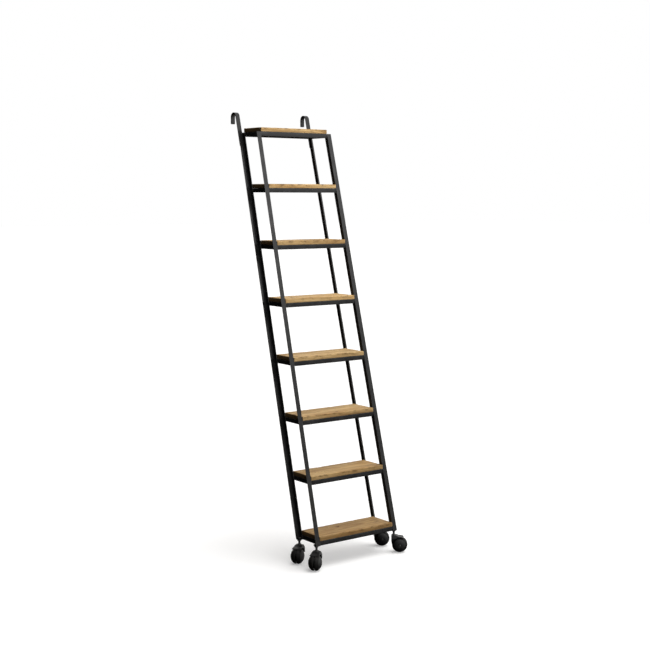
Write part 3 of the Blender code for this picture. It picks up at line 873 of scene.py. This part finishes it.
def store(mesh, name, kind, values):
    """Keeps a value for each point, for the material to read."""
    attribute = mesh.attributes.new(name, kind, "POINT")
    attribute.data.foreach_set("vector" if kind == "FLOAT_VECTOR" else "value", values)


def add_board(number):
    """A board with its own pith, knot and tone, which the wood material reads."""
    low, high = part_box(f"tread_{number}_board")
    rng = random.Random(40 + number)
    mesh, centre, edge = board_mesh(low, high, rng)
    pith = Vector((rng.uniform(0, 9), rng.uniform(-0.045, 0.045), -rng.uniform(0.05, 0.13)))
    flip = -1.0 if rng.random() < 0.5 else 1.0
    knot = Vector((rng.uniform(-0.19, 0.19), rng.uniform(-0.06, 0.06), 0.0))
    grain, ends = [], []
    for v in mesh.vertices:
        local = v.co - centre
        grain += [flip * local.x + pith.x, local.y - pith.y, local.z - pith.z]
        ends.append(v.normal.x)
    knot_at = [flip * knot.x + pith.x, knot.y - pith.y, -pith.z]
    count = len(mesh.vertices)
    store(mesh, "grain", "FLOAT_VECTOR", grain)
    store(mesh, "knot", "FLOAT_VECTOR", knot_at * count)
    # How far each point faces along X: the wood darkens end faces by it, as end grain and as painted shade.
    store(mesh, "end_grain_and_shade", "FLOAT", ends)
    store(mesh, "edge", "FLOAT", edge)
    store(mesh, "knot_size", "FLOAT", [rng.uniform(0.0030, 0.0105)] * count)
    store(mesh, "tone", "FLOAT", [BOARD_TONES[number - 1]] * count)
    name = f"tread_{number}_board"
    add_piece(f"plank_{number}", mesh, WOOD_LOOK, ROOT, "tread_wood", [name], sharp=60.0)


# ---------------------------------------------------------------- casters


def stem_mesh(top):
    """The threaded stud, the flange that rests on the hood, and the kingpin inside it."""
    flange = HOOD_TOP + GAP
    pitch = 0.00175
    thread_start = flange + 0.0060
    profile = [(0.0, top), (STEM_RADIUS - 0.0012, top), (STEM_RADIUS - 0.0003, top - 0.0009)]
    z = top - 0.0009 - pitch * 0.25
    while z - pitch > thread_start:
        profile += [(STEM_RADIUS - 0.0007, z - pitch * 0.35), (STEM_RADIUS - 0.0007, z - pitch * 0.5)]
        profile += [(STEM_RADIUS, z - pitch * 0.85), (STEM_RADIUS, z - pitch)]
        z -= pitch
    profile += [(STEM_RADIUS - 0.0004, thread_start), (STEM_RADIUS - 0.0004, flange + 0.0040)]
    profile += [(STEM_FLANGE_RADIUS - 0.0012, flange + 0.0035)]
    profile += [(STEM_FLANGE_RADIUS - 0.0002, flange + 0.0031), (STEM_FLANGE_RADIUS, flange + 0.0027)]
    profile += [(STEM_FLANGE_RADIUS, flange), (KINGPIN_RADIUS, flange)]
    profile += [(KINGPIN_RADIUS, KINGPIN_END + 0.0007), (KINGPIN_RADIUS - 0.0007, KINGPIN_END)]
    profile += [(0.0, KINGPIN_END)]
    return turned(profile, 56)


def from_axle(radius, degrees):
    """A point of the hood's side view, at this distance and angle from the axle."""
    angle = radians(degrees)
    return (TRAIL + radius * cos(angle), WHEEL_RADIUS + radius * sin(angle))


def hood_side():
    """The hood's outline from the side: front lip, crown, fender, then the web down to the axle."""
    corners = [
        (0.0105, HOOD_TOP, 0.004),
        (HOOD_FRONT, HOOD_TOP, 0.0075),
        (HOOD_FRONT, HOOD_FRONT_END, 0.0010),
        (HOOD_FRONT + 0.0036, HOOD_FRONT_END, 1e-6),
    ]
    corners += [(*from_axle(WEB_RADIUS, d), 1e-6) for d in range(196, 417, 5)]
    corners += [(*from_axle(WELL_RADIUS - 0.0008, 62), 1e-6)]
    corners += [(*from_axle(FENDER_RADIUS, d), 1e-6) for d in range(62, 98, 3)]
    return rounded_outline(corners)[0]


def across_axle(radius, low, high):
    """A cylinder about the axle, between two distances from the caster's middle plane."""
    mesh = turned([(0.0, low), (radius, low), (radius, high), (0.0, high)], 128)
    mesh.transform(Matrix.Translation((TRAIL, 0.0, WHEEL_RADIUS)) @ Matrix.Rotation(-pi / 2, 4, "X"))
    return mesh


def hood_mesh():
    """A cast hood: a shell over both wheels, a web between them, its edges eased."""
    body = prism(hood_side(), -0.03, 0.03, lambda u, v, w: Vector((u, w, v)))
    front_view, _ = rounded_outline(
        [
            (-HOOD_HALF_WIDTH, 0.02, 1e-6),
            (HOOD_HALF_WIDTH, 0.02, 1e-6),
            (HOOD_HALF_WIDTH, HOOD_SHOULDER, 0.007),
            (HOOD_TOP_HALF_WIDTH, HOOD_TOP, 0.006),
            (-HOOD_TOP_HALF_WIDTH, HOOD_TOP, 0.006),
            (-HOOD_HALF_WIDTH, HOOD_SHOULDER, 0.007),
        ],
        steps=7,
    )
    trim = prism(front_view, -0.03, 0.09, lambda u, v, w: Vector((w, u, v)))
    pin = KINGPIN_RADIUS + 0.0001
    low = KINGPIN_END - 0.0005
    kingpin = turned([(0.0, low), (pin, low), (pin, 0.1), (0.0, 0.1)], 48)
    return combined(
        body,
        ("INTERSECT", trim),
        ("DIFFERENCE", across_axle(WELL_RADIUS, WEB_HALF, 0.04)),
        ("DIFFERENCE", across_axle(WELL_RADIUS, -0.04, -WEB_HALF)),
        ("DIFFERENCE", across_axle(AXLE_RADIUS + GAP, -0.01, 0.01)),
        ("DIFFERENCE", kingpin),
        bevel=0.0006,
    )


def hub_mesh():
    """A wheel's centre: domed outside with a groove and a sunk middle, hollow and ribbed inside.

    z is the distance from the caster's middle plane, as for the tyre.
    """
    inner = WEB_HALF + 0.0007
    outside = [(0.0312, 0.0231), (0.0305, 0.0237), (0.0292, 0.0239), (0.0286, 0.0252)]
    outside += [(0.0260, 0.0274), (0.0230, 0.0291), (0.0200, 0.0305), (0.0172, 0.0316)]
    outside += [(0.0145, 0.0325), (0.0118, 0.0332), (0.0092, 0.0337), (0.0078, 0.0327)]
    outside += [(BORE_RADIUS + 0.0004, 0.0327), (BORE_RADIUS, 0.0323)]
    inside = [(BORE_RADIUS, inner), (0.0085, inner), (0.0095, 0.0205), (0.0265, 0.0205)]
    inside += [(0.0280, inner + 0.0010), (0.0312, inner + 0.0010)]
    body = turned(softened(outside + inside, 0.0005, steps=3), 96)
    ribs = []
    for k in range(6):
        rib = box_mesh((0.0082, -0.0007, inner + 0.0020), (0.0285, 0.0007, 0.0215))
        rib.transform(Matrix.Rotation(2 * pi * k / 6, 4, "Z"))
        ribs.append(("UNION", rib))
    return combined(body, *ribs)


def tyre_mesh():
    """A wheel's tread ring, rounded towards the outside, with the line its mould left."""
    inner = WEB_HALF + 0.0010
    profile = [(TYRE_INNER_RADIUS, inner), (WHEEL_RADIUS - 0.0010, inner)]
    profile += [(WHEEL_RADIUS - 0.0003, inner + 0.0006), (WHEEL_RADIUS, inner + 0.0014)]
    profile += [(WHEEL_RADIUS, 0.0066), (WHEEL_RADIUS - 0.0003, 0.0068)]
    profile += [(WHEEL_RADIUS - 0.0003, 0.0072), (WHEEL_RADIUS, 0.0074)]
    curve = [(0.0399, 0.0086), (0.0397, 0.0098), (0.0393, 0.0112), (0.0388, 0.0126)]
    curve += [(0.0381, 0.0143), (0.0372, 0.0160), (0.0361, 0.0178), (0.0348, 0.0196)]
    curve += [(0.0334, 0.0213), (0.0321, 0.0226), (TYRE_INNER_RADIUS, 0.0230)]
    return turned(profile + curve, 128)


def axle_mesh():
    """A plain pin, riveted over at both ends in the hubs' sunk middles."""
    half = [(AXLE_RADIUS, AXLE_HEAD_FROM), (AXLE_HEAD_RADIUS, AXLE_HEAD_FROM)]
    half += [(AXLE_HEAD_RADIUS, AXLE_HEAD_FROM + 0.0004), (AXLE_HEAD_RADIUS - 0.0007, 0.0339)]
    half += [(AXLE_HEAD_RADIUS - 0.0021, 0.0345), (0.0018, AXLE_HEAD_TO), (0.0014, 0.0342), (0.0, 0.0341)]
    return turned([(r, -z) for r, z in reversed(half)] + half, 48)


def collar_mesh():
    """A thin pressed washer that caps the swivel, between the hood and the lock nut."""
    low = HOOD_TOP + GAP
    profile = [(STEM_FLANGE_RADIUS + GAP, low), (0.0128, low), (0.0128, low + 0.0008)]
    profile += [(0.0120, low + 0.0015), (STEM_FLANGE_RADIUS + GAP, low + 0.0018)]
    return turned(softened(profile, 0.0003, steps=2), 64)


def caster_shapes():
    """Meshes that the four casters share, about the stem's axis or about the axle."""
    foot = FOOT - GAP
    return {
        "stem": stem_mesh(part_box("caster_left_front_stem")[1].z),
        "collar": collar_mesh(),
        "lock_nut": hexagonal_nut(0.018, STEM_RADIUS + GAP, foot - 0.006, foot),
        "hood": hood_mesh(),
        "axle": axle_mesh(),
        "hub": hub_mesh(),
        "tyre": tyre_mesh(),
    }


# Each caster piece: its look and the record's slot.
CASTER_LOOKS = {
    "stem": (BOLT_LOOK, "bolt_steel"),
    "collar": (BOLT_LOOK, "bolt_steel"),
    "lock_nut": (BOLT_LOOK, "bolt_steel"),
    "hood": (HOOD_LOOK, "hood_black"),
    "axle": (BOLT_LOOK, "bolt_steel"),
    "hub": (HUB_LOOK, "hub_grey"),
    "tyre": (TYRE_LOOK, "tyre_rubber"),
}


def joint_place(name):
    """Where a joint's axis is at rest."""
    joint = next(j for j in frame["joints"] if j["name"] == name)
    return Vector(joint["pos_m"])


def add_caster(side, row, shapes):
    """A caster, turned as the CAD's is at rest, and the steel of its foot plate."""
    corner = f"{side}_{row}"
    swivel = joint_place(f"{corner}_swivel")
    axle = joint_place(f"{corner}_wheel_1_roll")
    turn = atan2(axle.y - swivel.y, axle.x - swivel.x)
    stem = Matrix.Translation((swivel.x, swivel.y, 0.0))
    hood = stem @ Matrix.Rotation(turn, 4, "Z")
    centre = hood @ Matrix.Translation((TRAIL, 0.0, WHEEL_RADIUS))

    def add(piece, place, body, suffix=""):
        look, slot = CASTER_LOOKS[piece]
        nodes = [] if piece == "collar" else [f"caster_{corner}_{piece}{suffix}"]
        add_piece(f"{piece}_{corner}{suffix}", shapes[piece], look, body, slot, nodes, place)

    for piece in ("stem", "collar", "lock_nut"):
        add(piece, stem, ROOT)
    add("hood", hood, f"hood_{corner}")
    add("axle", centre @ Matrix.Rotation(pi / 2, 4, "X"), f"hood_{corner}")
    for number, outwards in ((1, -pi / 2), (2, pi / 2)):
        wheel = centre @ Matrix.Rotation(outwards, 4, "X")
        add("hub", wheel, f"wheel_{corner}_{number}", f"_{number}")
        add("tyre", wheel, f"wheel_{corner}_{number}", f"_{number}")
    plate = f"caster_{corner}_foot_plate"
    frame["nodes"][plate].data.materials.clear()
    frame["nodes"][plate].data.materials.append(STEEL_LOOK)
    add_foot_weld(side, row, corner)


def add_foot_weld(side, row, corner):
    """Beads along the foot plate's two edges against the angle iron."""
    low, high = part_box(f"caster_{corner}_foot_plate")
    outward = SIDES[side]
    inner_x = low.x if outward > 0 else high.x
    outer_x = high.x if outward > 0 else low.x
    near_y, far_y = (low.y, high.y) if ROWS[row] > 0 else (high.y, low.y)
    away = 0.002
    along_y = [Vector((inner_x, y, high.z)) for y in (near_y + ROWS[row] * 0.004, far_y - ROWS[row] * away)]
    along_x = [Vector((x, near_y, high.z)) for x in (inner_x + outward * 0.004, outer_x - outward * away)]
    beads = [weld_bead(*along_y, FOOT_WELD_RADIUS, 71), weld_bead(*along_x, FOOT_WELD_RADIUS, 83)]
    add_piece(f"foot_welds_{corner}", joined_meshes(beads), WELD_LOOK, ROOT, "blackened_steel", sharp=60.0)


# ---------------------------------------------------------------- studio


def add_floor():
    mesh = bpy.data.meshes.new("floor")
    reach = 60.0
    corners = [(-reach, -reach, 0.0), (reach, -reach, 0.0), (reach, reach, 0.0), (-reach, reach, 0.0)]
    mesh.from_pydata(corners, [], [(0, 1, 2, 3)])
    mesh.materials.append(floor_paint())
    floor = bpy.data.objects.new("floor", mesh)
    bpy.context.scene.collection.objects.link(floor)
    floor.visible_diffuse = False
    floor.visible_glossy = False


# Soft light from the sky: where it comes from, the cosine where it starts, and its strength.
SKY_LOBES = (((0.45, -0.48, 0.74), 0.15, 1.55), ((0.65, 0.74, 0.16), 0.45, 1.1))


def add_world():
    """Plain white where the camera looks. The ladder gets a soft sky in front and another behind."""
    world = bpy.data.worlds.new("studio")
    bpy.context.scene.world = world
    world.use_nodes = True
    tree = world.node_tree
    tree.nodes.clear()
    where = tree.nodes.new("ShaderNodeTexCoord").outputs["Generated"]
    total = tree.nodes.new("ShaderNodeMath")
    total.operation = "ADD"
    for socket, (towards, start, strength) in zip(total.inputs, SKY_LOBES):
        dot = tree.nodes.new("ShaderNodeVectorMath")
        dot.operation = "DOT_PRODUCT"
        dot.inputs[1].default_value = Vector(towards).normalized()
        tree.links.new(where, dot.inputs[0])
        fall = tree.nodes.new("ShaderNodeMapRange")
        fall.interpolation_type = "SMOOTHSTEP"
        for name, value in (("From Min", start), ("From Max", 1.0), ("To Min", 0.005), ("To Max", strength)):
            fall.inputs[name].default_value = value
        tree.links.new(dot.outputs["Value"], fall.inputs["Value"])
        tree.links.new(fall.outputs[0], socket)
    light = tree.nodes.new("ShaderNodeBackground")
    light.inputs["Color"].default_value = (1.0, 0.985, 0.965, 1.0)
    tree.links.new(total.outputs[0], light.inputs["Strength"])
    seen = tree.nodes.new("ShaderNodeBackground")
    seen.inputs["Color"].default_value = (1.0, 1.0, 1.0, 1.0)
    choose = tree.nodes.new("ShaderNodeMixShader")
    camera = tree.nodes.new("ShaderNodeLightPath").outputs["Is Camera Ray"]
    tree.links.new(camera, choose.inputs[0])
    tree.links.new(light.outputs[0], choose.inputs[1])
    tree.links.new(seen.outputs[0], choose.inputs[2])
    out = tree.nodes.new("ShaderNodeOutputWorld")
    tree.links.new(choose.outputs[0], out.inputs[0])


def add_lamp(name, kind, place, target, energy):
    """A lamp at place that shines towards target."""
    light = bpy.data.lights.new(name, kind)
    light.energy = energy
    lamp = bpy.data.objects.new(name, light)
    lamp.location = place
    lamp.rotation_euler = (Vector(place) - Vector(target)).to_track_quat("Z", "Y").to_euler()
    bpy.context.scene.collection.objects.link(lamp)
    return light


def add_lamps():
    """A broad lamp on the ladder's top half, and a distant one that gives the floor its shadow."""
    key = add_lamp("key", "SPOT", (1.6, -2.8, 3.2), (0.0, 0.25, 2.45), 300.0)
    key.shadow_soft_size = 0.55
    key.spot_size = radians(62)
    key.spot_blend = 1.0
    shade = add_lamp("shade", "SUN", (0.26, -0.16, 1.0), (0.0, 0.0, 0.0), 0.80)
    shade.angle = radians(32)


def add_camera():
    data = bpy.data.cameras.new("camera")
    data.lens = LENS
    data.sensor_width = 36.0
    camera = bpy.data.objects.new("camera", data)
    camera.location = CAMERA_AT
    level = Euler((pi / 2 + CAMERA_PITCH, 0.0, -CAMERA_YAW)).to_matrix()
    camera.rotation_euler = (level @ Matrix.Rotation(-CAMERA_ROLL, 3, "Z")).to_euler()
    bpy.context.scene.collection.objects.link(camera)
    bpy.context.scene.camera = camera


# ---------------------------------------------------------------- assembly

for side in SIDES:
    for row in ROWS:
        add_stringer(side, row)
    add_hook(side)
screw = pan_head_screw()
for number in TREADS:
    add_tread_frame(number)
    add_board(number)
    add_frame_screws(number, screw)
    add_frame_welds(number)
bpy.data.meshes.remove(screw)
shapes = caster_shapes()
for side in SIDES:
    for row in ROWS:
        add_caster(side, row, shapes)

add_floor()
add_world()
add_lamps()
add_camera()
bpy.context.scene.view_settings.view_transform = "Standard"
